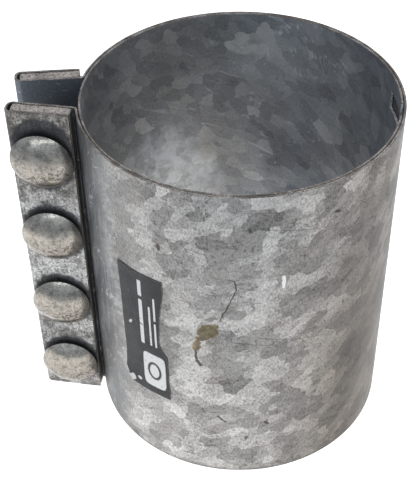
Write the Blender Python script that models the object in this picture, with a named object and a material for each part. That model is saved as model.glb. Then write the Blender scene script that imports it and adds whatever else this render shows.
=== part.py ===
"""Split-band pipe clamp: a galvanised sheet band with two hemmed bolt lugs round an inner liner ring.

Units are metres. +Z runs up the barrel and the lugs point to -X. The origin is the centre of the
bounding box's base. The carriage bolts' heads are on the -Y lug and their nuts on the +Y lug.
"""

import math

import bmesh
import bpy
from mathutils import Matrix, Vector

MM = 0.001

# Barrel: a sheet band round a liner ring of nearly the same sheet.
HEIGHT = 165.1 * MM
BAND_RADIUS = 69.0 * MM
SHEET = 1.0 * MM
SLIP_GAP = 0.3 * MM
LINER_SHEET = 1.0 * MM
CIRCLE_STEPS = 120

# Lugs: each end of the band runs along the gap side of a flat bar, turns round the bar's outer
# edge and comes back along its outside.
LUG_TILT = math.radians(7.0)
LUG_MID_X = -81.6 * MM
LUG_HALF_GAP = 9.0 * MM
ROOT_BEND = 1.8 * MM
HEM_BEND = 2.5 * MM
BEND_STEPS = 6
BAR_WIDTH = 25.4 * MM
BAR_THICKNESS = 4.76 * MM
BAR_END_INSET = 0.3 * MM
BAR_EDGE = 0.5 * MM
BAR_GAP_INSIDE = 0.3 * MM
BAR_GAP_OUTSIDE = 0.8 * MM
BAR_GAP_TIP = 1.4 * MM
LUG_STACK = 2 * SHEET + BAR_GAP_INSIDE + BAR_THICKNESS + BAR_GAP_OUTSIDE

# Bolts: half-inch carriage bolts with flat washers, spring washers and hexagon nuts.
BOLT_COUNT = 4
TOP_BOLT_Z = 141.9 * MM
BOLT_PITCH = 41.3 * MM
BOLT_TILT = math.radians(4.5)
BOLT_ALONG_LUG = 1.0 * MM
BOLT_RADIUS = 6.35 * MM
BOLT_LENGTH = 57.15 * MM
HEAD_RADIUS = 13.5 * MM
HEAD_HEIGHT = 6.6 * MM
HEAD_RIM = 1.2 * MM
NECK_WIDTH = 12.7 * MM
NECK_LENGTH = 6.9 * MM
TIP_CHAMFER = 1.2 * MM
SQUARE_HOLE = 14.0 * MM
ROUND_HOLE_RADIUS = 8.75 * MM
WASHER_RADIUS = 13.5 * MM
WASHER_BORE = 6.75 * MM
WASHER_THICKNESS = 2.4 * MM
SPRING_RADIUS = 11.15 * MM
SPRING_THICKNESS = 3.2 * MM
SPRING_SPLIT = math.radians(12.0)
NUT_ACROSS_FLATS = 19.05 * MM
NUT_THICKNESS = 11.1 * MM
NUT_BORE = 6.65 * MM
NUT_CHAMFER = math.radians(30.0)
TOUCH_GAP = 0.3 * MM
ROUND_STEPS = 32
DOME_STEPS = 5

# Liner: a butt seam, and a bayonet notch cut down from the top rim opposite the lugs.
SEAM_AZIMUTH = math.radians(-118.0)
SEAM_WIDTH = 0.5 * MM
NOTCH_FROM = math.radians(-12.2)
NOTCH_TO = math.radians(-3.7)
SLOT_TO = math.radians(13.5)
SLOT_TOP = HEIGHT - 7.5 * MM
SLOT_BOTTOM = HEIGHT - 15.9 * MM

# Sticker on the bolt half of the band.
LABEL_FROM = math.radians(-136.8)
LABEL_TO = math.radians(-115.4)
LABEL_BOTTOM = 42.2 * MM
LABEL_TOP = 114.0 * MM
LABEL_GAP = 0.15 * MM
LABEL_THICKNESS = 0.25 * MM

# Worked-out sizes.
BAND_LINE = BAND_RADIUS - SHEET / 2
LINER_OUTER = BAND_RADIUS - SHEET - SLIP_GAP
LINER_INNER = LINER_OUTER - LINER_SHEET
LUG_END = BAR_WIDTH / 2 + BAR_GAP_TIP + SHEET
HEM_OUTER = HEM_BEND + SHEET / 2
LUG_REACH = (
    -LUG_MID_X
    + (LUG_END - HEM_OUTER) * math.cos(LUG_TILT)
    + (LUG_STACK - HEM_OUTER) * math.sin(LUG_TILT)
    + HEM_OUTER
)
BARREL_X = (LUG_REACH - BAND_RADIUS) / 2


def clear_scene():
    for item in list(bpy.data.objects):
        bpy.data.objects.remove(item, do_unlink=True)


def make_material(name, colour, roughness, metallic):
    """A plain Principled material for one object."""
    material = bpy.data.materials.new(name)
    material.use_nodes = True
    shader = material.node_tree.nodes["Principled BSDF"]
    shader.inputs["Base Color"].default_value = (*colour, 1.0)
    shader.inputs["Roughness"].default_value = roughness
    shader.inputs["Metallic"].default_value = metallic
    return material


def add_object(name, shape, material=None, parent=None, matrix=Matrix()):
    """Turns a bmesh into an object, placed by its matrix under its parent."""
    bmesh.ops.recalc_face_normals(shape, faces=shape.faces)
    mesh = bpy.data.meshes.new(name)
    shape.to_mesh(mesh)
    shape.free()
    if material:
        mesh.materials.append(material)
    item = bpy.data.objects.new(name, mesh)
    bpy.context.collection.objects.link(item)
    item.parent = parent
    item.matrix_local = matrix
    return item


def add_empty(name, matrix, parent=None):
    item = bpy.data.objects.new(name, None)
    bpy.context.collection.objects.link(item)
    item.parent = parent
    item.matrix_local = matrix
    return item


def shade_round(item):
    item.data.shade_smooth()
    item.data.set_sharp_from_angle(angle=math.radians(30))


def add_boolean(item, cutter, operation="DIFFERENCE"):
    """Cuts or joins with a helper object, which stays as a hidden wire guide."""
    cutter.hide_render = True
    cutter.display_type = "WIRE"
    modifier = item.modifiers.new(cutter.name, "BOOLEAN")
    modifier.operation = operation
    modifier.solver = "EXACT"
    modifier.object = cutter


def polar(radius, azimuth):
    return Vector((radius * math.cos(azimuth), radius * math.sin(azimuth)))


class SheetPath:
    """The middle line of a bent sheet seen from above, drawn as runs and bends from a start."""

    def __init__(self, start, heading):
        self.point = Vector(start)
        self.heading = heading
        self.stations = []
        self.mark()

    def mark(self):
        side = Vector((-math.sin(self.heading), math.cos(self.heading)))
        self.stations.append((self.point.copy(), side))

    def run(self, length):
        self.point += length * Vector((math.cos(self.heading), math.sin(self.heading)))
        self.mark()

    def bend(self, angle, radius, steps):
        """Turns left for a positive angle and right for a negative one."""
        hand = math.copysign(1.0, angle)
        side = Vector((-math.sin(self.heading), math.cos(self.heading)))
        centre = self.point + hand * radius * side
        for _ in range(steps):
            self.heading += angle / steps
            side = Vector((-math.sin(self.heading), math.cos(self.heading)))
            self.point = centre - hand * radius * side
            self.mark()


def sheet_solid(stations, thickness, low, high, mirror=False):
    """A strip of sheet standing on edge from height low to high along its path."""
    shape = bmesh.new()
    flip = -1.0 if mirror else 1.0
    rings = []
    for point, side in stations:
        corners = []
        for offset, z in ((0.5, low), (0.5, high), (-0.5, high), (-0.5, low)):
            place = point + side * thickness * offset
            corners.append(shape.verts.new((place.x, flip * place.y, z)))
        rings.append(corners)
    for ring, following in zip(rings, rings[1:]):
        for corner in range(4):
            after = (corner + 1) % 4
            shape.faces.new((ring[corner], ring[after], following[after], following[corner]))
    shape.faces.new(rings[0])
    shape.faces.new(rings[-1])
    return shape


def curved_block(inner, outer, start, end, low, high):
    """A block that follows the barrel's curve between two azimuths."""
    steps = max(2, round(abs(end - start) / (2 * math.pi) * CIRCLE_STEPS))
    path = SheetPath(polar((inner + outer) / 2, start), start + math.pi / 2)
    path.bend(end - start, (inner + outer) / 2, steps)
    return sheet_solid(path.stations, outer - inner, low, high)


def prism(outline, low, high):
    """A flat outline in X and Y, extruded along Z."""
    shape = bmesh.new()
    face = shape.faces.new([shape.verts.new((x, y, low)) for x, y in outline])
    top = bmesh.ops.extrude_face_region(shape, geom=[face])["geom"]
    raised = [item for item in top if isinstance(item, bmesh.types.BMVert)]
    bmesh.ops.translate(shape, verts=raised, vec=(0, 0, high - low))
    return shape


def box(size_x, size_y, low, high):
    half_x = size_x / 2
    half_y = size_y / 2
    corners = ((-half_x, -half_y), (half_x, -half_y), (half_x, half_y), (-half_x, half_y))
    return prism(corners, low, high)


def regular_prism(radius, sides, low, high, turn=0.0):
    angles = [turn + 2 * math.pi * side / sides for side in range(sides)]
    return prism([polar(radius, angle) for angle in angles], low, high)


def turned(profile, steps=ROUND_STEPS):
    """A closed solid turned about Z from (radius, height) points that go up its outer side.

    Points on the axis close the ends. A profile with none gives a ring, closed on itself.
    """
    shape = bmesh.new()
    rings = []
    for radius, z in profile:
        if radius == 0:
            rings.append([shape.verts.new((0, 0, z))] * steps)
            continue
        ring = []
        for step in range(steps):
            place = polar(radius, 2 * math.pi * step / steps)
            ring.append(shape.verts.new((place.x, place.y, z)))
        rings.append(ring)
    pairs = list(zip(rings, rings[1:]))
    if profile[0][0] > 0:
        pairs.append((rings[-1], rings[0]))
    for low, high in pairs:
        for step in range(steps):
            after = (step + 1) % steps
            corners = dict.fromkeys((low[step], low[after], high[after], high[step]))
            shape.faces.new(list(corners))
    return shape


def lug_vectors(hand):
    """Directions of a lug: along it from the barrel to its tip, and outward from the gap.

    hand is -1 for the bolt lug on the -Y side and 1 for the nut lug on the +Y side.
    """
    along = Vector((-math.cos(LUG_TILT), -hand * math.sin(LUG_TILT)))
    outward = Vector((-math.sin(LUG_TILT), hand * math.cos(LUG_TILT)))
    return along, outward


def lug_matrix(hand, depth):
    """A frame at the lug's middle, depth beyond its gap face: X to the tip, Z outward."""
    along, outward = lug_vectors(hand)
    place = Vector((LUG_MID_X, hand * LUG_HALF_GAP)) + depth * outward
    matrix = Matrix.Identity(4)
    matrix.col[0].xyz = (*along, 0)
    matrix.col[1].xyz = Vector((*outward, 0)).cross(Vector((*along, 0)))
    matrix.col[2].xyz = (*outward, 0)
    matrix.translation = (*place, 0)
    return matrix


def half_band_path():
    """The bolt half's sheet, from the back of the barrel to the free edge outside the bar."""
    along, outward = lug_vectors(-1)
    leaf = Vector((LUG_MID_X, -LUG_HALF_GAP)) + outward * SHEET / 2
    # The root bend touches the barrel's circle and the leaf's line.
    base = leaf + outward * ROOT_BEND
    reach = base.dot(along)
    far = BAND_LINE + ROOT_BEND
    shift = -reach + math.sqrt(reach**2 - base.length_squared + far**2)
    centre = base + along * shift
    root_azimuth = math.atan2(centre.y, centre.x)
    start = -SLIP_GAP / 2 / BAND_LINE
    steps = CIRCLE_STEPS // 2
    path = SheetPath(polar(BAND_LINE, start), start - math.pi / 2)
    path.bend(root_azimuth - start, BAND_LINE, steps)
    leaf_heading = math.atan2(along.y, along.x)
    path.bend((leaf_heading - path.heading) % (2 * math.pi), ROOT_BEND, BEND_STEPS)
    path.run(LUG_END - HEM_OUTER - shift)
    path.bend(math.pi / 2, HEM_BEND, BEND_STEPS)
    path.run(LUG_STACK - 2 * HEM_OUTER)
    path.bend(math.pi / 2, HEM_BEND, BEND_STEPS)
    path.run(LUG_END - HEM_OUTER + BAR_WIDTH / 2)
    return path


def bolt_line():
    """A point where the bolts cross the middle of their lug, and the way they point."""
    along, outward = lug_vectors(-1)
    point = Vector((LUG_MID_X, -LUG_HALF_GAP)) + outward * LUG_STACK / 2 + along * BOLT_ALONG_LUG
    return point, Vector((math.sin(BOLT_TILT), math.cos(BOLT_TILT)))


def crossing_on_nut_lug():
    """How far along the nut lug from its middle the bolts cross it."""
    point, direction = bolt_line()
    along, outward = lug_vectors(1)
    middle = Vector((LUG_MID_X, LUG_HALF_GAP)) + outward * LUG_STACK / 2
    travel = (middle - point).dot(outward) / direction.dot(outward)
    return (point + direction * travel - middle).dot(along)


def bolt_seats():
    """Distances along the bolts from their lug's middle to the head's seat and the washer's."""
    point, direction = bolt_line()
    lean = LUG_TILT - BOLT_TILT
    head = -(LUG_STACK / 2 + TOUCH_GAP + HEAD_RADIUS * math.sin(lean)) / math.cos(lean)
    outward = lug_vectors(1)[1]
    face = Vector((LUG_MID_X, LUG_HALF_GAP)) + outward * LUG_STACK
    lean = LUG_TILT + BOLT_TILT
    clear = TOUCH_GAP + WASHER_RADIUS * math.sin(lean)
    washer = ((face - point).dot(outward) + clear) / direction.dot(outward)
    return head, washer


def bolt_heights():
    return [TOP_BOLT_Z - BOLT_PITCH * number for number in range(BOLT_COUNT)]


def hole_cutter(name, parent, hand, along, square):
    """Four punches through a lug, square for the bolts' necks or round for their shanks."""
    shape = bmesh.new()
    for height in bolt_heights():
        if square:
            punch = box(SQUARE_HOLE, SQUARE_HOLE, -LUG_STACK, 2 * LUG_STACK)
        else:
            punch = regular_prism(ROUND_HOLE_RADIUS, ROUND_STEPS, -LUG_STACK, 2 * LUG_STACK)
        # A lug frame's Y runs up on one lug and down on the other.
        bmesh.ops.translate(punch, verts=punch.verts, vec=(along, hand * height, 0))
        mesh = bpy.data.meshes.new(name)
        punch.to_mesh(mesh)
        punch.free()
        shape.from_mesh(mesh)
        bpy.data.meshes.remove(mesh)
    return add_object(name, shape, parent=parent, matrix=lug_matrix(hand, 0))


def make_band_half(name, parent, matrix, hand, cutter, material):
    path = half_band_path()
    shape = sheet_solid(path.stations, SHEET, 0, HEIGHT, mirror=hand > 0)
    item = add_object(name, shape, material, parent, matrix)
    add_boolean(item, cutter)
    shade_round(item)
    return item


def make_bar(name, parent, hand, cutter, material):
    """A flat bar inside a lug's hem, with rolled long edges."""
    depth = SHEET + BAR_GAP_INSIDE + BAR_THICKNESS / 2
    low = BAR_END_INSET
    high = HEIGHT - BAR_END_INSET
    shape = box(BAR_WIDTH, BAR_THICKNESS, low, high)
    upright = [edge for edge in shape.edges if edge.verts[0].co.z != edge.verts[1].co.z]
    bmesh.ops.bevel(
        shape, geom=upright, offset=BAR_EDGE, segments=2, profile=0.5, affect="EDGES"
    )
    turn = Matrix.Rotation(math.atan2(lug_vectors(hand)[0].y, lug_vectors(hand)[0].x), 4, "Z")
    place = lug_matrix(hand, depth).translation
    item = add_object(name, shape, material, parent, Matrix.Translation(place) @ turn)
    add_boolean(item, cutter)
    return item


def make_liner(parent, material):
    """The inner ring, open at a butt seam, with its bayonet notch."""
    half_seam = SEAM_WIDTH / 2 / LINER_INNER
    start = SEAM_AZIMUTH + half_seam
    end = SEAM_AZIMUTH + 2 * math.pi - half_seam
    shape = curved_block(LINER_INNER, LINER_OUTER, start, end, 0, HEIGHT)
    item = add_object("liner_ring", shape, material, parent)
    inner = LINER_INNER - 2 * MM
    outer = LINER_OUTER + 2 * MM
    entry = curved_block(inner, outer, NOTCH_FROM, NOTCH_TO, SLOT_BOTTOM, HEIGHT + 2 * MM)
    slot = curved_block(inner, outer, NOTCH_FROM, SLOT_TO, SLOT_BOTTOM, SLOT_TOP)
    add_boolean(item, add_object("cut_notch_entry", entry, parent=parent))
    add_boolean(item, add_object("cut_notch_slot", slot, parent=parent))
    shade_round(item)


def make_label(parent, matrix, material):
    inner = BAND_RADIUS + LABEL_GAP
    outer = inner + LABEL_THICKNESS
    shape = curved_block(inner, outer, LABEL_FROM, LABEL_TO, LABEL_BOTTOM, LABEL_TOP)
    shade_round(add_object("label", shape, material, parent, matrix))


def make_bolt(number, axis, material):
    """A carriage bolt. Its head's seat is at Z 0 of its axis and it points along +Z."""
    dome_height = HEAD_HEIGHT - HEAD_RIM
    dome_radius = (HEAD_RADIUS**2 + dome_height**2) / (2 * dome_height)
    dome_angle = math.asin(HEAD_RADIUS / dome_radius)
    profile = [(0, -HEAD_HEIGHT)]
    for step in range(1, DOME_STEPS + 1):
        angle = dome_angle * step / DOME_STEPS
        sink = dome_radius * (1 - math.cos(angle))
        profile.append((dome_radius * math.sin(angle), sink - HEAD_HEIGHT))
    profile += [
        (HEAD_RADIUS - HEAD_RIM / 2, 0),
        (BOLT_RADIUS, 0),
        (BOLT_RADIUS, BOLT_LENGTH - TIP_CHAMFER),
        (BOLT_RADIUS - TIP_CHAMFER, BOLT_LENGTH),
        (0, BOLT_LENGTH),
    ]
    item = add_object(f"bolt_{number}", turned(profile), material, axis)
    neck = box(NECK_WIDTH, NECK_WIDTH, -HEAD_RIM / 2, NECK_LENGTH)
    guide = add_object(f"neck_guide_{number}", neck, parent=axis)
    add_boolean(item, guide, "UNION")
    shade_round(item)


def make_flat_washer(number, axis, place, material):
    profile = [
        (WASHER_RADIUS, 0),
        (WASHER_RADIUS, WASHER_THICKNESS),
        (WASHER_BORE, WASHER_THICKNESS),
        (WASHER_BORE, 0),
    ]
    matrix = Matrix.Translation((0, 0, place))
    shade_round(add_object(f"flat_washer_{number}", turned(profile), material, axis, matrix))


def make_spring_washer(number, axis, place, material):
    """A ring of square wire with a gap, pressed nearly flat."""
    middle = (SPRING_RADIUS + WASHER_BORE) / 2
    path = SheetPath(polar(middle, SPRING_SPLIT / 2), SPRING_SPLIT / 2 + math.pi / 2)
    path.bend(2 * math.pi - SPRING_SPLIT, middle, ROUND_STEPS)
    width = SPRING_RADIUS - WASHER_BORE
    shape = sheet_solid(path.stations, width, 0, SPRING_THICKNESS)
    matrix = Matrix.Translation((0, 0, place))
    shade_round(add_object(f"spring_washer_{number}", shape, material, axis, matrix))


def make_nut(number, axis, place, material):
    """A hexagon nut with both faces chamfered and a plain bore that clears the bolt."""
    corner = NUT_ACROSS_FLATS / 2 / math.cos(math.pi / 6)
    hexagon = regular_prism(corner, 6, 0, NUT_THICKNESS, turn=math.pi / 6)
    matrix = Matrix.Translation((0, 0, place))
    item = add_object(f"hex_nut_{number}", hexagon, material, axis, matrix)
    flat = NUT_ACROSS_FLATS / 2
    slope = math.tan(NUT_CHAMFER)
    reach = corner + 1 * MM
    drop = (reach - flat) * slope
    profile = [
        (flat, 0),
        (reach, drop),
        (reach, NUT_THICKNESS - drop),
        (flat, NUT_THICKNESS),
        (NUT_BORE, NUT_THICKNESS),
        (NUT_BORE, 0),
    ]
    guide = add_object(f"nut_guide_{number}", turned(profile), parent=axis, matrix=matrix)
    add_boolean(item, guide, "INTERSECT")
    shade_round(item)


def bolt_matrix(height, seat):
    """A frame on a bolt's line at its head's seat: Z towards the nut, X to the lug's tip."""
    point, direction = bolt_line()
    place = point + direction * seat
    matrix = Matrix.Identity(4)
    matrix.col[0].xyz = (-direction.y, direction.x, 0)
    matrix.col[1].xyz = (0, 0, 1)
    matrix.col[2].xyz = (*direction, 0)
    matrix.translation = (*place, height)
    return matrix


def build():
    clear_scene()
    band_colour = (0.40, 0.40, 0.39)
    fastener_colour = (0.46, 0.46, 0.44)
    barrel = add_empty("barrel_axis", Matrix.Translation((BARREL_X, 0, 0)))
    opening = add_empty("opening_axis", Matrix.Translation((BAND_LINE, 0, 0)), barrel)
    from_opening = Matrix.Translation((-BAND_LINE, 0, 0))
    bolt_side = add_empty("bolt_side_frame", from_opening, opening)

    square = hole_cutter("cut_square_holes", bolt_side, -1, BOLT_ALONG_LUG, True)
    round_holes = hole_cutter("cut_round_holes", barrel, 1, crossing_on_nut_lug(), False)
    for name, parent, matrix, hand, cutter in (
        ("band_bolt_half", opening, from_opening, -1, square),
        ("band_nut_half", barrel, Matrix(), 1, round_holes),
    ):
        zinc = make_material(name, band_colour, 0.45, 0.8)
        make_band_half(name, parent, matrix, hand, cutter, zinc)
    make_bar("bolt_bar", bolt_side, -1, square, make_material("bolt_bar", band_colour, 0.55, 0.7))
    make_bar("nut_bar", barrel, 1, round_holes, make_material("nut_bar", band_colour, 0.55, 0.7))
    make_liner(barrel, make_material("liner_ring", (0.34, 0.36, 0.38), 0.42, 0.8))
    make_label(opening, from_opening, make_material("label", (0.05, 0.05, 0.055), 0.5, 0.0))

    head_seat, washer_seat = bolt_seats()
    washer_place = washer_seat - head_seat
    spring_place = washer_place + WASHER_THICKNESS + TOUCH_GAP
    nut_place = spring_place + SPRING_THICKNESS + TOUCH_GAP
    for number, height in enumerate(bolt_heights(), start=1):
        axis = add_empty(f"bolt_axis_{number}", bolt_matrix(height, head_seat), bolt_side)
        finish = make_material(f"bolt_{number}", fastener_colour, 0.5, 0.8)
        make_bolt(number, axis, finish)
        finish = make_material(f"flat_washer_{number}", fastener_colour, 0.45, 0.8)
        make_flat_washer(number, axis, washer_place, finish)
        finish = make_material(f"spring_washer_{number}", fastener_colour, 0.5, 0.8)
        make_spring_washer(number, axis, spring_place, finish)
        finish = make_material(f"hex_nut_{number}", fastener_colour, 0.45, 0.8)
        make_nut(number, axis, nut_place, finish)


build()
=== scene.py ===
"""Looks of the split-band pipe clamp: band sheet, liner, lug bars, bolts, washers, nuts and label.

Units are metres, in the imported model's frame: +Z up the barrel, lugs to -X, bolt heads on -Y.
"""

import math

import bmesh
import bpy
import numpy as np
from mathutils import Matrix, Vector, noise


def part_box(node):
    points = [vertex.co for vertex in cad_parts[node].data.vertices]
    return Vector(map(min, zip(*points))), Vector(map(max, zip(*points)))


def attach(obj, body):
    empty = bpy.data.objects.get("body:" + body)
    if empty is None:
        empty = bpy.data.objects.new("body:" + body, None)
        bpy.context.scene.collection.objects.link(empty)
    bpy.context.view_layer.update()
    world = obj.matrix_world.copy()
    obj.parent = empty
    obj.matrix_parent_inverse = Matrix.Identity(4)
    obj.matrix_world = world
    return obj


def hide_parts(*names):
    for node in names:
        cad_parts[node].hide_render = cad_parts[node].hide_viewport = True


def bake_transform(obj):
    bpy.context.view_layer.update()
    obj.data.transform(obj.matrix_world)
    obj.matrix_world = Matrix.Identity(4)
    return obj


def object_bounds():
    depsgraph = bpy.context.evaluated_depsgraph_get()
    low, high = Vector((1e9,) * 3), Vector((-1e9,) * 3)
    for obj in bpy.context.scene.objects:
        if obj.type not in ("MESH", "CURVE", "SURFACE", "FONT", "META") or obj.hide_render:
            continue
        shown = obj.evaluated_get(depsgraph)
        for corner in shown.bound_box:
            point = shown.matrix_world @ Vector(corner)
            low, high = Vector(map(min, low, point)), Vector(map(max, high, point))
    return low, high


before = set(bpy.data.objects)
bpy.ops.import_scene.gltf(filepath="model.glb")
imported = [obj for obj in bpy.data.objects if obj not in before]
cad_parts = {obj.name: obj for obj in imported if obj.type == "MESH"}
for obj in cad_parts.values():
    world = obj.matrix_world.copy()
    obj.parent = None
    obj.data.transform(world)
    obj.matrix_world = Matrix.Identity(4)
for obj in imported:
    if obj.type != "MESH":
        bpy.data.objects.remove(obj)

MM = 0.001
CAD_LOW, CAD_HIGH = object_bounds()

# Barrel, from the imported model's box.
BAND_RADIUS = -CAD_LOW.y
BARREL_X = CAD_HIGH.x - BAND_RADIUS
HEIGHT = CAD_HIGH.z
SHEET = 1.0 * MM
SLIP_GAP = 0.3 * MM
LINER_SHEET = 1.0 * MM
BAND_LINE = BAND_RADIUS - SHEET / 2
LINER_LINE = BAND_RADIUS - SHEET - SLIP_GAP - LINER_SHEET / 2
SEAM_AZIMUTH = math.radians(-118.0)
SEAM_WIDTH = 0.5 * MM

# Bayonet notch in the liner's top rim.
NOTCH_FROM = math.radians(-12.2)
NOTCH_TO = math.radians(-3.7)
SLOT_TO = math.radians(13.5)
SLOT_TOP = HEIGHT - 7.5 * MM
SLOT_BOTTOM = HEIGHT - 15.9 * MM

# Lugs, hemmed round flat bars. LUG_MID_X is measured from the barrel's axis.
LUG_TILT = math.radians(7.0)
LUG_MID_X = -81.6 * MM
LUG_HALF_GAP = 9.0 * MM
ROOT_BEND = 1.8 * MM
HEM_BEND = 2.5 * MM
BAR_WIDTH = 25.4 * MM
BAR_THICKNESS = 4.76 * MM
BAR_EDGE = 0.6 * MM
BAR_GAP_INSIDE = 0.3 * MM
BAR_GAP_OUTSIDE = 0.8 * MM
BAR_GAP_TIP = 1.4 * MM
LUG_STACK = 2 * SHEET + BAR_GAP_INSIDE + BAR_THICKNESS + BAR_GAP_OUTSIDE
LUG_END = BAR_WIDTH / 2 + BAR_GAP_TIP + SHEET
HEM_OUTER = HEM_BEND + SHEET / 2

# Half-inch carriage bolts, their washers and nuts.
BOLT_HEIGHTS = [(141.9 - 41.3 * number) * MM for number in range(4)]
BOLT_TILT = math.radians(4.5)
BOLT_ALONG_LUG = 1.0 * MM
BOLT_LENGTH = 57.15 * MM
HEAD_RADIUS = 13.5 * MM
HEAD_HEIGHT = 6.6 * MM
HEAD_RIM = 1.2 * MM
NECK_HALF = 6.35 * MM
NECK_LENGTH = 6.9 * MM
SHANK_RADIUS = 6.2 * MM
THREAD_CREST = 6.3 * MM
THREAD_ROOT = 5.3 * MM
THREAD_PITCH = 25.4 * MM / 13
THREAD_LENGTH = 33.0 * MM
THREAD_ROWS = 10
TIP_CHAMFER = 1.2 * MM
SQUARE_HOLE = 14.0 * MM
ROUND_HOLE_RADIUS = 8.75 * MM
WASHER_RADIUS = 13.5 * MM
WASHER_BORE = 6.75 * MM
WASHER_THICKNESS = 2.4 * MM
SPRING_RADIUS = 11.15 * MM
SPRING_THICKNESS = 3.2 * MM
SPRING_SPLIT = math.radians(12.0)
NUT_ACROSS_FLATS = 19.05 * MM
NUT_THICKNESS = 11.1 * MM
TOUCH_GAP = 0.3 * MM

# The inner face's pattern is read this far from the outer face's, so that the two differ.
FACE_SHIFT = 2.0

# Faces that meet at more than this angle keep a sharp edge.
SHARP = math.radians(30)


# ---------------------------------------------------------------- shapes


def polar(radius, azimuth):
    return Vector((radius * math.cos(azimuth), radius * math.sin(azimuth)))


def wave(place, size, seed=0.0):
    """Smooth noise from -1 to 1 at a point, with lumps of about the given size."""
    return noise.noise(Vector(place) / size + Vector((seed, seed * 1.7, seed * 0.6)))


def smooth_step(low, high, value):
    part = min(1.0, max(0.0, (value - low) / (high - low)))
    return part * part * (3 - 2 * part)


def frame_matrix(x_axis, y_axis, z_axis, place):
    matrix = Matrix.Identity(4)
    for column, axis in enumerate((x_axis, y_axis, z_axis)):
        matrix.col[column].xyz = axis
    matrix.translation = place
    return matrix


def new_piece(name, points, faces, materials):
    """A smooth-shaded mesh piece at the frame's origin."""
    mesh = bpy.data.meshes.new(name)
    mesh.from_pydata([tuple(point) for point in points], [], faces)
    for material in materials:
        mesh.materials.append(material)
    mesh.shade_smooth()
    mesh.set_sharp_from_angle(angle=SHARP)
    piece = bpy.data.objects.new(name, mesh)
    bpy.context.collection.objects.link(piece)
    return piece


def face_outward(piece):
    """Turns every face of a closed piece outward."""
    shape = bmesh.new()
    shape.from_mesh(piece.data)
    bmesh.ops.recalc_face_normals(shape, faces=shape.faces)
    shape.to_mesh(piece.data)
    shape.free()


def cut(piece, cutters):
    """Cuts a piece with each cutter, keeps the result as its mesh, and removes the cutters."""
    for cutter in cutters:
        modifier = piece.modifiers.new(cutter.name, "BOOLEAN")
        modifier.operation = "DIFFERENCE"
        modifier.solver = "EXACT"
        modifier.material_mode = "TRANSFER"
        modifier.object = cutter
    graph = bpy.context.evaluated_depsgraph_get()
    mesh = bpy.data.meshes.new_from_object(
        piece.evaluated_get(graph), preserve_all_data_layers=True, depsgraph=graph
    )
    piece.modifiers.clear()
    piece.data = mesh
    mesh.set_sharp_from_angle(angle=SHARP)
    for cutter in cutters:
        bpy.data.objects.remove(cutter)


class SheetPath:
    """The middle line of a bent sheet seen from above, with its length so far at each station."""

    def __init__(self, start, heading):
        self.point = Vector(start)
        self.heading = heading
        self.length = 0.0
        self.stations = []
        self.mark()

    def side(self):
        return Vector((-math.sin(self.heading), math.cos(self.heading)))

    def mark(self):
        self.stations.append((self.point.copy(), self.side(), self.length))

    def run(self, length, steps=1):
        ahead = Vector((math.cos(self.heading), math.sin(self.heading)))
        for _ in range(steps):
            self.point += ahead * length / steps
            self.length += length / steps
            self.mark()

    def bend(self, angle, radius, steps):
        """Turns left for a positive angle and right for a negative one."""
        hand = math.copysign(1.0, angle)
        centre = self.point + hand * radius * self.side()
        for _ in range(steps):
            self.heading += angle / steps
            self.length += abs(angle) * radius / steps
            self.point = centre - hand * radius * self.side()
            self.mark()


def lug_vectors(hand):
    """Directions of a lug, along it to its tip and outward from the gap. hand is -1 at the heads."""
    along = Vector((-math.cos(LUG_TILT), -hand * math.sin(LUG_TILT)))
    outward = Vector((-math.sin(LUG_TILT), hand * math.cos(LUG_TILT)))
    return along, outward


def lug_matrix(hand, depth):
    """A frame at the lug's middle, depth beyond its gap face: X to the tip, Z outward."""
    along, outward = lug_vectors(hand)
    place = Vector((LUG_MID_X + BARREL_X, hand * LUG_HALF_GAP)) + depth * outward
    upright = Vector((*outward, 0)).cross(Vector((*along, 0)))
    return frame_matrix((*along, 0), upright, (*outward, 0), (*place, 0))


def half_band_path():
    """The bolt half's sheet, from the back of the barrel to the free edge outside the bar."""
    along, outward = lug_vectors(-1)
    base = Vector((LUG_MID_X, -LUG_HALF_GAP)) + outward * (SHEET / 2 + ROOT_BEND)
    reach = base.dot(along)
    far = BAND_LINE + ROOT_BEND
    shift = -reach + math.sqrt(reach**2 - base.length_squared + far**2)
    centre = base + along * shift
    path = SheetPath(polar(BAND_LINE, 0), -math.pi / 2)
    path.bend(math.atan2(centre.y, centre.x), BAND_LINE, steps=150)
    leaf_heading = math.atan2(along.y, along.x)
    path.bend((leaf_heading - path.heading) % math.tau, ROOT_BEND, steps=10)
    path.run(LUG_END - HEM_OUTER - shift, steps=20)
    path.bend(math.pi / 2, HEM_BEND, steps=8)
    path.run(LUG_STACK - 2 * HEM_OUTER, steps=2)
    path.bend(math.pi / 2, HEM_BEND, steps=8)
    path.run(LUG_END - HEM_OUTER + BAR_WIDTH / 2, steps=20)
    return path.stations


def band_stations():
    """The whole band's middle line, from the nut lug's free edge to the bolt lug's.

    Lengths are measured from the back of the barrel and are negative on the bolt half.
    """
    half = half_band_path()
    nut_half = []
    for point, side, length in reversed(half[1:]):
        nut_half.append((Vector((point.x, -point.y)), Vector((side.x, -side.y)), length))
    return nut_half + [(point, side, -length) for point, side, length in half]


def dressed_piece(name, points, faces, materials, slots, places):
    """A closed piece with a material for each face, and the UV layer "sheet" for each corner."""
    piece = new_piece(name, points, faces, materials)
    piece.data.polygons.foreach_set("material_index", slots)
    layer = piece.data.uv_layers.new(name="sheet")
    layer.uv.foreach_set("vector", np.array(places, np.float32).ravel())
    face_outward(piece)
    return piece


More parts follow.
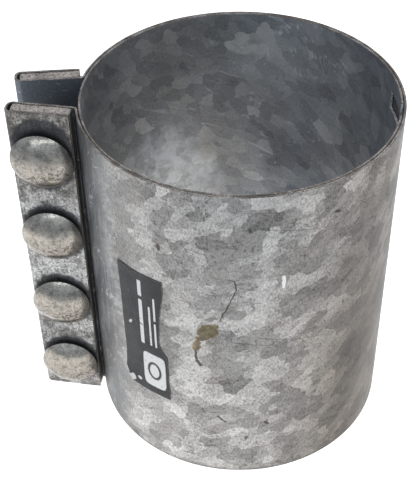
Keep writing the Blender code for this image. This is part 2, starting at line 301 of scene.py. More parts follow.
def sheet_piece(name, stations, thickness, waver, dent, materials):
    """A strip of sheet standing on edge, with rounded rims in the second material.

    waver(length) lowers the top rim and raises the bottom one. dent(length, height) moves the
    sheet along its side. The UV layer "sheet" holds length and height in metres.
    """
    half = thickness / 2
    rim = 0.22 * MM
    rows = 64
    heights = np.linspace(rim, HEIGHT - rim, rows)
    loop = [(half, z, 0) for z in heights]
    loop += [(half - rim, HEIGHT, 1), (rim - half, HEIGHT, 1)]
    loop += [(-half, z, 2) for z in reversed(heights)]
    loop += [(rim - half, 0.0, 3), (half - rim, 0.0, 3)]
    count = len(loop)
    points = []
    for point, side, length in stations:
        lift = waver(length)
        for offset, z, _ in loop:
            move = offset + dent(length, z)
            height = lift + z * (1 - 2 * lift / HEIGHT)
            points.append((point.x + side.x * move + BARREL_X, point.y + side.y * move, height))
    faces = []
    places = []
    slots = []
    for number in range(len(stations) - 1):
        start = number * count
        for row in range(count):
            after = (row + 1) % count
            faces.append((start + row, start + after, start + count + after, start + count + row))
            kinds = (loop[row][2], loop[after][2])
            shift = FACE_SHIFT if 2 in kinds else 0.0
            slots.append(0 if kinds in ((0, 0), (2, 2)) else 1)
            for station, corner in ((0, row), (0, after), (1, after), (1, row)):
                offset, z, kind = loop[corner]
                across = half - offset if kind in (1, 3) else 0.0
                places.append((stations[number + station][2] + shift, z + across))
    for start in (0, (len(stations) - 1) * count):
        ends = [(row, 2 * rows - row + 1, 2 * rows - row, row + 1) for row in range(rows - 1)]
        levels = list(heights[:-1]) + [HEIGHT, HEIGHT]
        ends += [(rows - 1, rows, rows + 1, rows + 2), (0, count - 1, count - 2, 2 * rows + 1)]
        for corners, level in zip(ends, levels):
            faces.append(tuple(start + corner for corner in corners))
            slots.append(1)
            places += [(0.0, level)] * 4
    return dressed_piece(name, points, faces, materials, slots, places)


def lofted_piece(name, rings, materials, closed=False, matrix=Matrix()):
    """A closed body through rings of points: closed joins its ends, or else they are capped."""
    ring_count, size = rings.shape[:2]
    faces = []
    for ring in range(ring_count if closed else ring_count - 1):
        start = ring * size
        following = (ring + 1) % ring_count * size
        for corner in range(size):
            after = (corner + 1) % size
            faces.append((start + corner, start + after, following + after, following + corner))
    if not closed:
        faces.append(tuple(range(size)))
        faces.append(tuple(range((ring_count - 1) * size, ring_count * size)))
    points = rings.reshape(-1, 3) @ np.array(matrix.to_3x3()).T + np.array(matrix.translation)
    piece = new_piece(name, points, faces, materials)
    face_outward(piece)
    return piece


def turned_rings(profile, steps=64):
    """Rings about Z from a profile of (radius, height), where a radius may be an array by angle."""
    angles = np.linspace(0, math.tau, steps, endpoint=False)
    rings = []
    for radius, height in profile:
        radii = np.broadcast_to(radius, steps)
        heights = np.broadcast_to(height, steps)
        rings.append(np.stack([radii * np.cos(angles), radii * np.sin(angles), heights], axis=1))
    return np.array(rings)


def rounded_square(half, corner, steps=5):
    outline = []
    for quarter in range(4):
        turn = quarter * math.pi / 2
        centre = polar((half - corner) * math.sqrt(2), turn + math.pi / 4)
        for step in range(steps + 1):
            point = centre + polar(corner, turn + step / steps * math.pi / 2)
            outline.append((point.x, point.y))
    return outline


def bolt_line():
    """A point where the bolts cross the middle of their lug, and the way they point."""
    along, outward = lug_vectors(-1)
    point = Vector((LUG_MID_X, -LUG_HALF_GAP)) + outward * LUG_STACK / 2 + along * BOLT_ALONG_LUG
    return point, Vector((math.sin(BOLT_TILT), math.cos(BOLT_TILT)))


def crossing_on_nut_lug():
    """How far along the nut lug from its middle the bolts cross it."""
    point, direction = bolt_line()
    along, outward = lug_vectors(1)
    middle = Vector((LUG_MID_X, LUG_HALF_GAP)) + outward * LUG_STACK / 2
    travel = (middle - point).dot(outward) / direction.dot(outward)
    return (point + direction * travel - middle).dot(along)


def bolt_seats():
    """Distances along the bolts from their lug's middle to the head's seat and the washer's."""
    point, direction = bolt_line()
    lean = LUG_TILT - BOLT_TILT
    head = -(LUG_STACK / 2 + TOUCH_GAP + HEAD_RADIUS * math.sin(lean)) / math.cos(lean)
    outward = lug_vectors(1)[1]
    face = Vector((LUG_MID_X, LUG_HALF_GAP)) + outward * LUG_STACK
    clear = TOUCH_GAP + WASHER_RADIUS * math.sin(LUG_TILT + BOLT_TILT)
    washer = ((face - point).dot(outward) + clear) / direction.dot(outward)
    return head, washer


def bolt_matrix(height):
    """A frame on a bolt's line at its head's seat: Z towards the nut, X to the lug's tip."""
    point, direction = bolt_line()
    place = point + direction * bolt_seats()[0]
    across = (-direction.y, direction.x, 0)
    return frame_matrix(across, (0, 0, 1), (*direction, 0), (place.x + BARREL_X, place.y, height))


def lug_punches(hand):
    """Cutters for a lug's holes, from the top: square for the bolts' necks, round on the nut lug."""
    if hand < 0:
        outline = rounded_square(SQUARE_HOLE / 2, corner=0.8 * MM)
        along = BOLT_ALONG_LUG
    else:
        steps = 40
        outline = [polar(ROUND_HOLE_RADIUS, math.tau * step / steps) for step in range(steps)]
        along = crossing_on_nut_lug()
    matrix = lug_matrix(hand, 0) @ Matrix.Translation((along, 0, 0))
    rings = [[(x, y, depth) for x, y in outline] for depth in (-2 * LUG_STACK, 3 * LUG_STACK)]
    cutters = []
    for height in BOLT_HEIGHTS:
        cutter = lofted_piece("punch", np.array(rings), [], matrix=matrix)
        cutter.data.transform(Matrix.Translation((0, 0, height)))
        cutters.append(cutter)
    return cutters


# ---------------------------------------------------------------- materials


class Paint:
    """Builds one material's nodes, laying shades over its colour so far.

    Vectors are metres. The sizes of patterns and the heights of bumps are millimetres.
    """

    def __init__(self, name, metallic, ior=1.5):
        self.material = bpy.data.materials.new(name)
        self.material.use_nodes = True
        self.tree = self.material.node_tree
        self.shader = self.tree.nodes["Principled BSDF"]
        self.shader.inputs["Metallic"].default_value = metallic
        self.shader.inputs["IOR"].default_value = ior
        self.colour = None

    def node(self, kind, values, **settings):
        """Adds a node, sets its settings, and links or sets its inputs by name or number."""
        node = self.tree.nodes.new(kind)
        for key, value in settings.items():
            setattr(node, key, value)
        for key, value in values.items():
            if isinstance(value, bpy.types.NodeSocket):
                self.tree.links.new(value, node.inputs[key])
            else:
                node.inputs[key].default_value = value
        return node

    def link(self, value, name):
        self.tree.links.new(value, self.shader.inputs[name])

    def sheet(self):
        """Length along and height on a sheet."""
        return self.node("ShaderNodeUVMap", {}, uv_map="sheet").outputs[0]

    def place(self):
        """The point itself, in the frame."""
        return self.node("ShaderNodeTexCoord", {}).outputs["Object"]

    def parts(self, vector):
        return self.node("ShaderNodeSeparateXYZ", {0: vector}).outputs

    def mapped(self, vector, scale=(1, 1, 1), turn=0.0, shift=(0, 0, 0)):
        values = {"Vector": vector, "Location": shift, "Rotation": (0, 0, turn), "Scale": scale}
        return self.node("ShaderNodeMapping", values).outputs[0]

    def local(self, vector, centre, size, turn=0.0):
        """The point seen from a centre, turned, in units of the size."""
        values = {"Vector": vector, "Location": (*centre, 0), "Rotation": (0, 0, turn)}
        values["Scale"] = (*size, 1)
        return self.node("ShaderNodeMapping", values, vector_type="TEXTURE").outputs[0]

    def drawn(self, vector, ratio, turn):
        """A point for patterns drawn out by a ratio along a direction, in degrees."""
        return self.local(vector, (0, 0), (ratio, 1.0), math.radians(turn))

    def noise(self, vector, size, detail=2.0, rough=0.5, output="Fac"):
        values = {"Vector": vector, "Scale": 1 / (size * MM), "Detail": detail, "Roughness": rough}
        return self.node("ShaderNodeTexNoise", values).outputs[output]

    def cells(self, vector, size, output="Distance", feature="F1"):
        values = {"Vector": vector, "Scale": 1 / (size * MM)}
        return self.node("ShaderNodeTexVoronoi", values, feature=feature).outputs[output]

    def step(self, value, low, high, bottom=0.0, top=1.0):
        """Eases from bottom to top as the value goes from low to high."""
        values = {"Value": value, "From Min": low, "From Max": high}
        values |= {"To Min": bottom, "To Max": top}
        node = self.node("ShaderNodeMapRange", values, interpolation_type="SMOOTHSTEP")
        return node.outputs[0]

    def step_mm(self, value, low, high, bottom=0.0, top=1.0):
        """Eases from bottom to top as a value in metres goes between two lengths in millimetres."""
        return self.step(value, low * MM, high * MM, bottom, top)

    def maths(self, operation, *values):
        """Works from left to right through any number of values."""
        total = values[0]
        for value in values[1:] or (0.0,):
            total = self.node("ShaderNodeMath", {0: total, 1: value}, operation=operation).outputs[0]
        return total

    def times(self, *values):
        return self.maths("MULTIPLY", *values)

    def plus(self, *values):
        return self.maths("ADD", *values)

    def swing(self, value, amount):
        """How far a value is above or below one half, times an amount."""
        return self.times(self.plus(value, -0.5), amount)

    def vector_maths(self, operation, values):
        return self.node("ShaderNodeVectorMath", values, operation=operation).outputs[0]

    def warped(self, vector, size, amount):
        """The vector pushed about by noise of the given size."""
        push = self.noise(vector, size, output="Color")
        push = self.vector_maths("ADD", {0: push, 1: (-0.5, -0.5, -0.5)})
        push = self.vector_maths("SCALE", {0: push, "Scale": amount * MM})
        return self.vector_maths("ADD", {0: vector, 1: push})

    def mix(self, factor, first, second, blend="MIX"):
        node = self.tree.nodes.new("ShaderNodeMix")
        node.data_type = "RGBA"
        node.blend_type = blend
        for socket, value in ((node.inputs[0], factor), (node.inputs[6], first), (node.inputs[7], second)):
            if isinstance(value, bpy.types.NodeSocket):
                self.tree.links.new(value, socket)
            elif isinstance(value, tuple):
                socket.default_value = (*value, 1.0)
            else:
                socket.default_value = value
        return node.outputs[2]

    def cover(self, mask, shade, strength=1.0, blend="MIX"):
        """Lays a shade over the colour so far, where the mask is above 0."""
        if strength != 1.0:
            mask = self.times(mask, strength)
        self.colour = self.mix(mask, self.colour, shade, blend)

    def tint(self, mask, shade, strength=1.0):
        """Multiplies the colour so far by a shade, where the mask is above 0."""
        self.cover(mask, shade, strength, "MULTIPLY")

    def shade(self, factor):
        """Makes the colour so far darker or lighter by a grey factor."""
        grey = self.node("ShaderNodeCombineColor", {0: factor, 1: factor, 2: factor}).outputs[0]
        self.tint(1.0, grey)

    def finish(self, roughness, height, distance):
        """Sets the shader's colour, roughness and bump. A height of 1 is distance millimetres."""
        self.link(self.colour, "Base Color")
        self.link(roughness, "Roughness")
        values = {"Height": height, "Distance": distance * MM, "Strength": 1.0}
        self.link(self.node("ShaderNodeBump", values).outputs[0], "Normal")
        return self.material


def spot(paint, where, centre, size, turn=0.0, power=2.0, ragged=0.0, ragged_size=2.0, soft=0.2):
    """1 inside a soft ellipse on a sheet and 0 outside. A high power makes it a rounded box.

    Centre, half sizes and ragged_size are in millimetres, and turn is in degrees.
    """
    centre = (centre[0] * MM, centre[1] * MM)
    size = (size[0] * MM, size[1] * MM)
    parts = paint.parts(paint.local(where, centre, size, math.radians(turn)))
    powers = [paint.maths("POWER", paint.maths("ABSOLUTE", part), power) for part in parts[:2]]
    total = paint.plus(*powers)
    if ragged:
        total = paint.plus(total, paint.swing(paint.noise(where, ragged_size, 3.0), ragged))
    return paint.step(total, 1 + soft, 1 - soft)


def stroke(paint, where, start, end, half_width):
    """A straight mark from start to end, in millimetres."""
    run = Vector(end) - Vector(start)
    centre = (Vector(start) + Vector(end)) / 2
    turn = math.degrees(math.atan2(run.y, run.x))
    return spot(paint, where, centre, (run.length / 2, half_width), turn, 4.0)


def hairlines(paint, where, ratio, turn, size, width, gate_size):
    """Thin broken lines, where drawn-out noise crosses its middle."""
    field = paint.noise(paint.drawn(where, ratio, turn), size, 1.0)
    off = paint.maths("ABSOLUTE", paint.plus(field, -0.5))
    gate = paint.step(paint.noise(where, gate_size, 2.0), 0.50, 0.60)
    return paint.times(paint.step(off, width, width * 0.3), gate)


def crystals(paint, where, size, ratio=1.6, turn=35):
    """Points snapped to leaning crystals of about the given size.

    Patterns read from the points get angular edges. Returns the points and the nearness to edges.
    """
    bent = paint.warped(where, size * 0.6, size * 0.5)
    leaning = paint.drawn(bent, ratio, turn)
    seeds = paint.cells(leaning, size, "Position")
    edge = paint.step(paint.cells(leaning, size, feature="DISTANCE_TO_EDGE"), 0.07, 0.02)
    return paint.mapped(seeds, (ratio, 1.0, 1.0), math.radians(turn)), edge


def spangle(paint, facets, patch_size, share):
    """Angular patches in four levels, from 0 to 1."""
    field = paint.noise(facets, patch_size, 2.0, 0.55)
    total = 0.0
    for more, level in ((-0.06, 0.25), (-0.01, 0.3), (0.035, 0.25), (0.08, 0.2)):
        total = paint.plus(total, paint.step(field, share + more, share + more + 0.004, 0.0, level))
    return total


def grain_tone(paint, where, facets, grain, contrast=1.0):
    """A grey factor for zinc: crystals, blotches, smears, grain, cracks and specks.

    Returns the factor and the grain's noise.
    """
    upright = paint.mapped(where, (1.0, 0.62, 1.0))
    fine = paint.noise(upright, 0.95, 3.0, 0.8)
    tints = paint.noise(paint.mapped(facets, shift=(0.31, 0.17, 0)), 2.2, 0.0)
    darker = paint.noise(paint.mapped(facets, shift=(0.57, 0.43, 0)), 19, 2.0)
    coarse = paint.noise(where, 9, 4.0, 0.65)
    smears = paint.noise(paint.warped(where, 6, 5), 1.8, 3.0, 0.7)
    tone = paint.plus(
        paint.step(darker, 0.52, 0.525, 0.0, -0.14 * contrast),
        1.0,
        paint.swing(tints, 0.5 * contrast),
        paint.swing(coarse, 0.28 * contrast),
        paint.swing(smears, 0.5 * grain),
        paint.swing(fine, 2.3 * grain),
    )
    specks = paint.step(paint.noise(upright, 1.5, 2.0, 0.7), 0.60, 0.69)
    lines = hairlines(paint, where, 4.0, -8, 5, 0.018, 12)
    for mask, strength in ((specks, 0.5), (lines, 0.4)):
        tone = paint.times(tone, paint.step(mask, 0.0, 1.0, 1.0, 1.0 - strength * grain))
    return tone, fine


# The barrel's largest spangle patches: centre and half sizes in millimetres, turn in degrees.
LIGHT_PATCHES = (
    ((-129, 156), (5.0, 1.8), 75),
    ((-114, 155), (8.6, 2.6), -76),
    ((-126, 146), (11.5, 3.2), 21),
    ((-148, 135), (6.5, 4.8), 45),
    ((-88, 160), (6.6, 3.1), -38),
    ((-58, 159), (6.8, 3.5), -28),
    ((-73, 145), (5.6, 3.4), 41),
    ((-83, 117), (12.0, 4.6), 21),
    ((-67, 97), (8.4, 4.6), 85),
    ((-68, 79), (9.0, 5.4), -24),
    ((-74, 62), (13.5, 6.4), 66),
    ((-90, 73), (6.0, 4.6), -27),
    ((-104, 52), (16.0, 4.6), 3),
    ((-126, 55), (12.0, 8.0), -10),
    ((-113, 97), (9.0, 3.0), -9),
    ((-31, 116), (15.0, 3.9), -89),
    ((-101, 25), (14.0, 5.6), -7),
)
DARK_PATCHES = (
    ((-122, 157), (5.2, 3.8), 73),
    ((-120, 139), (6.0, 3.2), 10),
    ((-99, 152), (9.0, 5.0), 8),
    ((-84, 140), (9.0, 4.4), -11),
    ((-108, 62), (6.4, 4.6), 34),
    ((-127, 36), (9.0, 6.0), 80),
    ((-50, 56), (15.0, 8.0), -54),
)


def band_marks(paint, where):
    """Marks on the barrel: an olive stain with its run, cracks, rust, pits and scratches."""
    shaky = paint.warped(where, 2.5, 1.3)
    mottle = paint.step(paint.noise(where, 2.4, 3.0), 0.35, 0.65)
    olive = paint.mix(mottle, (0.09, 0.07, 0.032), (0.185, 0.15, 0.075))
    stain = spot(paint, shaky, (-119.6, 92.2), (6.5, 3.6), 50, 2.3, 2.4, 4.5, 0.1)
    paint.cover(stain, olive, 0.9)
    rusty = paint.mix(mottle, (0.10, 0.055, 0.025), (0.26, 0.19, 0.10))
    run = spot(paint, shaky, (-124.6, 83.0), (1.8, 4.2), -8, 2.0, 3.0, 1.8, 0.1)
    paint.cover(run, rusty, 0.85)
    for start, end, half_width in (
        ((-114.6, 99.0), (-107.8, 117.4), 0.30),
        ((-107.8, 117.4), (-108.4, 122.4), 0.38),
        ((-108.4, 122.4), (-111.2, 122.8), 0.22),
        ((-125.2, 79.6), (-124.8, 74.0), 0.55),
        ((-124.8, 74.0), (-122.7, 70.4), 0.9),
        ((-116.4, 38.8), (-112.0, 35.0), 0.45),
    ):
        mark = stroke(paint, shaky, start, end, half_width)
        paint.cover(mark, (0.04, 0.03, 0.022), 0.85)
    for centre, size, turn in (
        ((-140.0, 133.4), (1.0, 1.7), 0),
        ((-66.5, 149.7), (1.6, 0.8), -20),
        ((-31.8, 64.0), (0.7, 0.8), 0),
        ((-94.0, 34.0), (1.5, 0.8), -47),
        ((-103.1, 24.2), (1.3, 0.7), 74),
        ((-59.3, 96.8), (0.5, 0.9), 0),
        ((-156.0, 113.9), (0.8, 0.6), 0),
    ):
        mark = spot(paint, where, centre, size, turn, 2.0, 1.6, 1.0)
        paint.cover(mark, (0.07, 0.042, 0.025), 0.85)
    for start, end in (
        ((-99.0, 89.5), (-62.0, 80.5)),
        ((-112.0, 88.0), (-88.0, 83.5)),
        ((-104.5, 157.6), (-85.5, 156.4)),
        ((-101.0, 150.0), (-70.0, 143.5)),
    ):
        mark = stroke(paint, shaky, start, end, 0.28)
        paint.cover(mark, (0.10, 0.09, 0.085), 0.45)
    # A short bright dash: a painted highlight.
    painted_glint = stroke(paint, shaky, (-88.6, 116.9), (-88.6, 123.7), 0.75)
    paint.cover(painted_glint, (0.86, 0.84, 0.81), 0.85)


def lug_marks(paint, where, up, lug, outer):
    """Lug faces: gritty mottled zinc outside the bars, darker zinc in the gap as painted shade."""
    barrel = paint.colour
    grit = paint.noise(where, 1.1, 4.0, 0.8)
    # The leaf in the gap: darker zinc, a painted shade, with light marks.
    paint.colour = paint.mix(paint.step(grit, 0.3, 0.7), (0.15, 0.165, 0.185), (0.26, 0.275, 0.30))
    marks = paint.step(paint.noise(paint.mapped(where, (0.5, 1.0, 1.0)), 2, 3.0), 0.62, 0.70)
    paint.cover(marks, (0.75, 0.76, 0.77), 0.5)
    gap = paint.colour
    blotch = paint.noise(paint.warped(where, 5, 4), 8, 4.0, 0.7)
    smear = paint.noise(paint.mapped(where, (1.0, 0.4, 1.0)), 3, 3.0, 0.7)
    # Lighter towards the bottom and darker high up: painted light and shade.
    height = paint.step_mm(up, 60, 165, 0.22, -0.12)
    foot = paint.step_mm(up, 85, 25, 0.5, 0.24)
    level = paint.plus(paint.swing(blotch, 1.5), height, foot, paint.swing(smear, 1.2))
    paint.colour = paint.mix(paint.step(level, 0.2, 0.85), (0.153, 0.147, 0.139), (0.57, 0.555, 0.535))
    paint.shade(paint.step(grit, 0.34, 0.66, 1.5, 0.5))
    specks = paint.step(paint.noise(paint.mapped(where, (1.0, 0.6, 1.0)), 1.5, 3.0, 0.8), 0.55, 0.63)
    paint.cover(specks, (0.07, 0.055, 0.045), 0.75)
    paint.tint(paint.step_mm(up, 105, 160), (0.92, 0.85, 0.78), 0.6)
    pale = paint.step(paint.noise(where, 2.2, 4.0, 0.75), 0.61, 0.69)
    paint.cover(pale, (0.66, 0.65, 0.62), 0.35)
    # Painted shadow above and beside each head, most above the top one.
    leaf_end = FACE_SHIFT + band_stations()[-1][2]
    seat = (leaf_end + BAR_WIDTH / 2 + BOLT_ALONG_LUG) / MM
    for number, height in enumerate(BOLT_HEIGHTS):
        reach = 4.5 if number == 0 else 1.6
        place = (seat - 0.8, height / MM + reach / 2)
        painted_shadow = spot(paint, where, place, (14.5, 14.3 + reach), 0, 2.0, 0.5, 3.0, 0.12)
        paint.cover(painted_shadow, (0.035, 0.036, 0.042), 0.8)
    paint.colour = paint.mix(lug, barrel, paint.mix(outer, gap, paint.colour))


def band_zinc():
    """The band's faces: weathered zinc with large spangle outside, grittier on the lugs."""
    paint = Paint("band_zinc", 0.8)
    where = paint.sheet()
    along, up = paint.parts(where)[:2]
    facets, edges = crystals(paint, where, 3.4)
    patches = paint.times(spangle(paint, facets, 15, 0.53), 0.85)
    feathers = paint.noise(paint.drawn(where, 4.0, 35), 1.6, 2.0)
    inner_bits = paint.plus(
        paint.step(paint.noise(facets, 4, 1.0), 0.47, 0.475, 0.68, 0.92),
        paint.swing(feathers, 0.5),
    )
    authored = 0.0
    for centre, size, turn in LIGHT_PATCHES:
        patch = spot(paint, facets, centre, size, turn, 2.2, 1.5, 5.0, 0.05)
        authored = paint.maths("MAXIMUM", authored, patch)
    patches = paint.maths("MAXIMUM", patches, paint.times(authored, inner_bits))
    patches = paint.plus(patches, paint.times(patches, edges, 0.35))
    paint.colour = paint.mix(patches, (0.290, 0.277, 0.265), (0.525, 0.505, 0.483))
    tone, fine = grain_tone(paint, where, facets, 1.0)
    for centre, size, turn in DARK_PATCHES:
        patch = spot(paint, facets, centre, size, turn, 2.2, 1.5, 5.0, 0.05)
        tone = paint.plus(tone, paint.times(patch, -0.20))
    paint.shade(tone)
    # Painted light and shade: lighter high in front, a painted highlight; warmer round to the right and
    # painted darker there as shade; browner and painted darker low down there; pale at the lower left,
    # painted light.
    lift = paint.times(paint.step_mm(along, -92, -55), paint.step_mm(up, 125, 155))
    paint.tint(lift, (1.46, 1.44, 1.41), 0.9)
    # Round to the right: a warmer tone with painted shade.
    beyond = paint.step_mm(along, 45, -20)
    warm_and_shaded = paint.times(paint.step_mm(along, -100, -35), beyond)
    paint.tint(warm_and_shaded, (0.67, 0.61, 0.555), 0.95)
    # Low down on the right: browner, with painted shade.
    low = paint.times(paint.step_mm(along, -108, -50), paint.step_mm(up, 155, 55), beyond)
    paint.tint(low, (0.50, 0.46, 0.42), 0.80)
    # Painted light at the lower left.
    pale = paint.times(paint.step_mm(along, -100, -140), paint.step_mm(up, 75, 25))
    paint.tint(pale, (1.30, 1.30, 1.31), 0.9)
    # Brown grain near the top and the label.
    brown = paint.times(
        paint.step(paint.noise(where, 14, 3.0), 0.5, 0.66),
        paint.step(paint.noise(where, 1.3, 2.0), 0.5, 0.62),
    )
    paint.cover(brown, (0.17, 0.12, 0.08), 0.5)
    # Bluish and drawn into streaks beside the lug.
    streaks = paint.noise(paint.mapped(where, (1.0, 0.06, 1.0)), 1.6, 3.0, 0.6)
    near_lug = paint.step_mm(along, -160, -180)
    paint.cover(near_lug, (0.115, 0.117, 0.122), 0.78)
    streak = paint.times(near_lug, paint.step(streaks, 0.45, 0.7))
    paint.cover(streak, (0.50, 0.52, 0.55), 0.4)
    nicks = paint.times(near_lug, hairlines(paint, where, 3.0, 60, 4, 0.02, 9))
    paint.cover(nicks, (0.70, 0.71, 0.73), 0.6)
    # A darker line along the bottom.
    foot = paint.step_mm(paint.plus(up, paint.times(fine, 2 * MM)), 3.2, 1.4)
    paint.cover(foot, (0.12, 0.115, 0.10), 0.6)
    band_marks(paint, where)
    # The sheet's other face: darkened as painted shade against the liner, then the leaf in the gap and the
    # one outside the bar.
    inner = paint.step(along, FACE_SHIFT * 0.45, FACE_SHIFT * 0.55)
    length = paint.maths("ABSOLUTE", paint.plus(along, paint.times(inner, -FACE_SHIFT)))
    shaded_behind_liner = paint.times(inner, paint.step_mm(length, 201, 198))
    paint.tint(shaded_behind_liner, (0.45, 0.42, 0.42))
    lug = paint.times(inner, paint.step_mm(length, 198, 201))
    lug_marks(paint, where, up, lug, paint.step_mm(length, 233, 236))
    roughness = paint.plus(paint.step(fine, 0.3, 0.7, 0.38, 0.52), paint.times(lug, 0.10))
    height = paint.plus(paint.times(fine, 0.5), paint.times(patches, 0.35))
    return paint.finish(roughness, height, 0.035)


def liner_zinc():
    """The liner's faces: smoother, cooler zinc with soft-edged spangle and long scratches."""
    paint = Paint("liner_zinc", 0.75)
    where = paint.sheet()
    along = paint.parts(where)[0]
    facets = crystals(paint, where, 5.0)[0]
    patches = spangle(paint, facets, 16, 0.54)
    paint.colour = paint.mix(patches, (0.345, 0.363, 0.39), (0.53, 0.55, 0.57))
    tone, fine = grain_tone(paint, where, facets, 0.42, 0.95)
    paint.shade(tone)
    inside = FACE_SHIFT / MM
    # Browner towards the lugs. Pale and mottled low on that side, a painted reflection of light; darker in
    # three soft areas, painted shade.
    near = paint.step_mm(along, inside + 90, inside + 150)
    brownish = paint.times(near, paint.step_mm(along, inside + 262, inside + 190))
    paint.tint(brownish, (1.07, 0.98, 0.89))
    blotches = paint.noise(paint.warped(where, 5, 5), 4.5, 4.0, 0.7)
    mottle = paint.plus(
        paint.step(paint.noise(facets, 9, 1.0), 0.46, 0.50, 0.0, 0.5),
        paint.step(blotches, 0.42, 0.56, 0.0, 0.5),
    )
    # A painted reflection: pale and mottled low on that side.
    bright = spot(paint, where, (inside + 149, 73), (27, 34), 0, 2.0, 1.6, 12.0, 0.6)
    bright = paint.times(bright, paint.plus(paint.times(mottle, 0.55), 0.24))
    paint.cover(bright, (0.80, 0.82, 0.83))
    # Painted shade: three darker soft areas, the first also a little warmer.
    for centre, size, ragged, ragged_size, soft, shade, strength in (
        ((104, 98), (24, 34), 1.2, 14.0, 0.5, (0.79, 0.76, 0.73), 0.8),
        ((76, 82), (18, 24), 1.2, 10.0, 0.6, (0.55, 0.57, 0.60), 0.5),
        ((125, 150), (28, 15), 1.4, 12.0, 0.5, (0.77, 0.78, 0.77), 1.0),
    ):
        place = (inside + centre[0], centre[1])
        paint.tint(spot(paint, where, place, size, 0, 2.0, ragged, ragged_size, soft), shade, strength)
    for centre, size in (((97, 154), (7.0, 7.0)), ((92, 147), (5.0, 5.0)), ((106, 150), (4.0, 5.0))):
        shape = spot(paint, facets, (inside + centre[0], centre[1]), size, 20, 2.4, 1.4, 4.0)
        rough_patch = paint.times(shape, paint.plus(paint.times(mottle, 0.5), 0.3))
        paint.cover(rough_patch, (0.66, 0.66, 0.64))
    # Scratches: a fan of steep ones high on the right, and long curved ones below.
    fan = spot(paint, where, (inside + 72, 150), (24, 15), 0, 2.0, 1.0, 8.0)
    strokes = hairlines(paint, paint.warped(where, 60, 24), 24.0, 66, 1.1, 0.06, 7)
    paint.cover(fan, (0.60, 0.63, 0.66), 0.22)
    paint.cover(paint.times(fan, strokes), (0.74, 0.76, 0.78))
    swirls = hairlines(paint, paint.warped(where, 70, 12), 9.0, 28, 6, 0.011, 14)
    paint.cover(swirls, (0.66, 0.68, 0.71), 0.45)
    flecks = paint.times(
        paint.step(paint.cells(where, 4.5), 0.13, 0.07),
        paint.step(paint.noise(where, 20), 0.50, 0.56),
    )
    paint.cover(flecks, (0.72, 0.73, 0.72), 0.8)
    height = paint.plus(paint.times(fine, 0.4), paint.times(patches, 0.2))
    return paint.finish(paint.step(fine, 0.2, 0.8, 0.32, 0.46), height, 0.02)


def edge_zinc(name, metallic, dull, bright):
    """A sheared edge: worn metal between two tones, with dark and brown specks."""
    paint = Paint(name, metallic)
    where = paint.place()
    grit = paint.noise(where, 0.6, 3.0, 0.7)
    worn = paint.noise(where, 7, 2.0)
    paint.colour = paint.mix(paint.step(worn, 0.35, 0.65), dull, bright)
    paint.cover(paint.step(grit, 0.46, 0.6, 0.0, 0.85), (0.06, 0.042, 0.032))
    return paint.finish(paint.step(grit, 0.3, 0.7, 0.38, 0.6), grit, 0.05)


def bar_zinc():
    """Hot-rolled bar, dipped: gritty, with sawn ends and a dirty narrow side by the barrel."""
    paint = Paint("bar_zinc", 0.4)
    where = paint.place()
    grit = paint.noise(where, 1.0, 4.0, 0.8)
    pits = paint.cells(where, 2.0)
    worn = paint.noise(where, 6, 3.0)
    paint.colour = paint.mix(paint.step(worn, 0.35, 0.65), (0.42, 0.35, 0.305), (0.63, 0.535, 0.465))
    paint.cover(paint.step(grit, 0.50, 0.62, 0.0, 0.85), (0.09, 0.072, 0.058))
    paint.cover(paint.step(pits, 0.26, 0.14, 0.0, 0.8), (0.05, 0.042, 0.036))
    root_side = BARREL_X + LUG_MID_X + BAR_WIDTH / 2
    dirt = paint.step_mm(paint.parts(where)[0], root_side / MM - 1.1, root_side / MM - 0.6)
    streaks = paint.noise(paint.mapped(where, (1.0, 1.0, 0.12)), 1.6, 3.0, 0.7)
    dirty = paint.mix(paint.step(streaks, 0.35, 0.7), (0.075, 0.062, 0.055), (0.19, 0.17, 0.155))
    paint.cover(dirt, dirty, 0.9)
    return paint.finish(paint.step(grit, 0.3, 0.7, 0.42, 0.68), grit, 0.12)


def fastener_zinc(name, base, light, metallic, rough_low, rough_high):
    """Zinc on forged and stamped fasteners: softly mottled, pitted and dirty on its lower half, which is
    also painted darker as shade.
    """
    paint = Paint(name, metallic)
    where = paint.place()
    mottle = paint.noise(paint.warped(where, 5, 4), 5, 3.0, 0.6)
    fine = paint.noise(where, 0.9, 3.0, 0.75)
    paint.colour = paint.mix(paint.step(mottle, 0.3, 0.7), base, light)
    paint.shade(paint.plus(paint.swing(fine, 0.9), 1.0))
    # 0.5 is level with a bolt, 0 and 1 half-way to the next ones below and above.
    pitch = BOLT_HEIGHTS[0] - BOLT_HEIGHTS[1]
    steps_up = paint.plus(paint.times(paint.parts(where)[2], 1 / pitch), 0.5 - BOLT_HEIGHTS[3] / pitch)
    rise = paint.maths("FRACT", steps_up)
    # Darker on the lower half of each: painted shade.
    low = paint.step(rise, 0.56, 0.40)
    paint.tint(low, (0.81, 0.80, 0.81))
    smudge = paint.step(paint.noise(paint.warped(where, 3, 3), 3.5, 4.0, 0.8), 0.50, 0.62)
    smudge = paint.times(smudge, paint.step(low, 0.0, 1.0, 0.6, 0.15))
    paint.cover(smudge, (0.15, 0.145, 0.135))
    pits = paint.step(paint.noise(where, 1.5, 4.0, 0.85), 0.52, 0.555)
    gate = paint.step(paint.noise(where, 6, 2.0), 0.34, 0.46)
    pit = paint.times(pits, gate, paint.plus(paint.times(low, 0.7), 0.3))
    paint.cover(pit, (0.07, 0.06, 0.045), 0.85)
    paint.cover(paint.step(rise, 0.235, 0.185), (0.17, 0.165, 0.13), 0.7)
    height = paint.plus(paint.times(fine, 0.3), paint.times(pit, -1.0))
    return paint.finish(paint.step(fine, 0.2, 0.8, rough_low, rough_high), height, 0.03)


